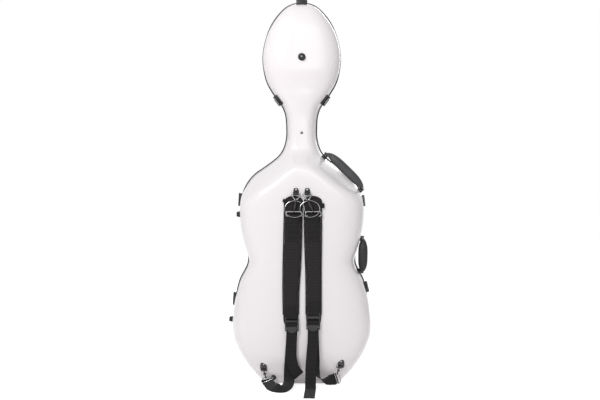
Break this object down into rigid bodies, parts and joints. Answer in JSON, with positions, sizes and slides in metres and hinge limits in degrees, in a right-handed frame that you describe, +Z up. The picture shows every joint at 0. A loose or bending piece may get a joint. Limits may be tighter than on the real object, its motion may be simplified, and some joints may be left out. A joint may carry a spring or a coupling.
{
  "type": "cello case",
  "caption": "Hard shell cello case on end, hinged lid with draw latches, carrying handles on one side, rubber feet and a padded backpack harness on the back.",
  "frame": {"origin": "on the flat base, at mid width, where the back shell and the lid meet", "axes": "+Z up to the head, -Y out of the back with the harness, +Y out of the lid, -X towards the hinges"},
  "size_m": [0.4909, 0.4713, 1.3176],
  "materials": {
    "pearl_shell": "pearl white gloss coat over composite",
    "seam_rubber": "matt black rubber",
    "foot_rubber": "satin black rubber",
    "plush": "short dark pile",
    "black_metal": "satin black",
    "grey_metal": "gunmetal",
    "chrome_wire": "polished",
    "grey_leather": "fine grain, stitched",
    "black_leather": "fine grain, stitched",
    "pad_fabric": "woven black, padded",
    "webbing": "ribbed black webbing",
    "black_plastic": "moulded black"
  },
  "bodies": {
    "case_back": {"back_shell": "pearl_shell", "back_lining": "plush", "seam_gasket": "seam_rubber", "side_foot_upper": "foot_rubber", "side_foot_lower": "foot_rubber", "head_foot": "foot_rubber", "back_foot_left": "foot_rubber", "back_foot_right": "foot_rubber", "neck_rest_screw": "grey_metal", "hinge_leaf_back_upper": "black_metal", "hinge_leaf_back_lower": "black_metal", "latch_base_head_top": "black_metal", "latch_base_head_left": "black_metal", "latch_base_head_right": "black_metal", "latch_base_upper": "black_metal", "latch_base_lower": "black_metal", "shoulder_handle_anchor_upper": "black_metal", "shoulder_handle_anchor_lower": "black_metal", "waist_handle_anchor_upper": "black_metal", "waist_handle_anchor_lower": "black_metal", "strap_bracket_left": "black_metal", "strap_ring_left": "chrome_wire", "strap_hook_left": "grey_metal", "pad_ring_left": "chrome_wire", "shoulder_pad_left": "pad_fabric", "strap_buckle_left": "black_plastic", "lower_bracket_left": "black_metal", "lower_ring_left": "chrome_wire", "lower_hook_left": "grey_metal", "strap_bracket_right": "black_metal", "strap_ring_right": "chrome_wire", "strap_hook_right": "grey_metal", "pad_ring_right": "chrome_wire", "shoulder_pad_right": "pad_fabric", "strap_buckle_right": "black_plastic", "lower_bracket_right": "black_metal", "lower_ring_right": "chrome_wire", "lower_hook_right": "grey_metal", "strap_webbing_left": "webbing", "strap_webbing_right": "webbing", "neck_rest": "plush", "end_cradle": "plush"},
    "lid": {"front_lid": "pearl_shell", "lid_lining": "plush", "bow_rest": "black_plastic", "hinge_leaf_lid_upper": "black_metal", "hinge_leaf_lid_lower": "black_metal", "latch_keeper_head_top": "grey_metal", "latch_keeper_head_left": "grey_metal", "latch_keeper_head_right": "grey_metal", "latch_keeper_upper": "grey_metal", "latch_keeper_lower": "grey_metal"},
    "latch_head_top": {"latch_lever_head_top": "grey_metal"},
    "latch_head_left": {"latch_lever_head_left": "grey_metal"},
    "latch_head_right": {"latch_lever_head_right": "grey_metal"},
    "latch_upper": {"latch_lever_upper": "grey_metal"},
    "latch_lower": {"latch_lever_lower": "grey_metal"},
    "shoulder_handle": {"shoulder_handle": "grey_leather"},
    "waist_handle": {"waist_handle": "black_leather"},
    "bow_clip": {"bow_clip": "black_plastic"}
  },
  "joints": [
    {"name": "lid_hinge", "type": "hinge", "parent": "case_back", "child": "lid", "pos_m": [-0.23688, 0, 0.27499], "axis": [0.0553, 0, 0.9985], "range_deg": [0, 110]},
    {"name": "latch_head_top_lever", "type": "hinge", "parent": "case_back", "child": "latch_head_top", "pos_m": [0, -0.024, 1.3142], "axis": [1, 0, 0], "range_deg": [0, 105]},
    {"name": "latch_head_left_lever", "type": "hinge", "parent": "case_back", "child": "latch_head_left", "pos_m": [-0.08632, -0.024, 0.96186], "axis": [-0.6073, 0, 0.7944], "range_deg": [0, 105]},
    {"name": "latch_head_right_lever", "type": "hinge", "parent": "case_back", "child": "latch_head_right", "pos_m": [0.08632, -0.024, 0.96186], "axis": [-0.6073, 0, -0.7944], "range_deg": [0, 105]},
    {"name": "latch_upper_lever", "type": "hinge", "parent": "case_back", "child": "latch_upper", "pos_m": [0.21632, -0.024, 0.61727], "axis": [0.1037, 0, -0.9946], "range_deg": [0, 105]},
    {"name": "latch_lower_lever", "type": "hinge", "parent": "case_back", "child": "latch_lower", "pos_m": [0.22799, -0.024, 0.31921], "axis": [0.2347, 0, -0.9721], "range_deg": [0, 105]},
    {"name": "shoulder_handle_swing", "type": "hinge", "parent": "case_back", "child": "shoulder_handle", "pos_m": [0.14661, -0.028, 0.71728], "axis": [-0.7152, 0, 0.699], "range_deg": [0, 90]},
    {"name": "waist_handle_swing", "type": "hinge", "parent": "case_back", "child": "waist_handle", "pos_m": [0.21023, -0.028, 0.42971], "axis": [0.0156, 0, 0.9999], "range_deg": [0, 90]},
    {"name": "bow_clip_turn", "type": "hinge", "parent": "lid", "child": "bow_clip", "pos_m": [0, 0.104, 0.52], "axis": [0, 1, 0], "range_deg": [0, 90]}
  ]
}
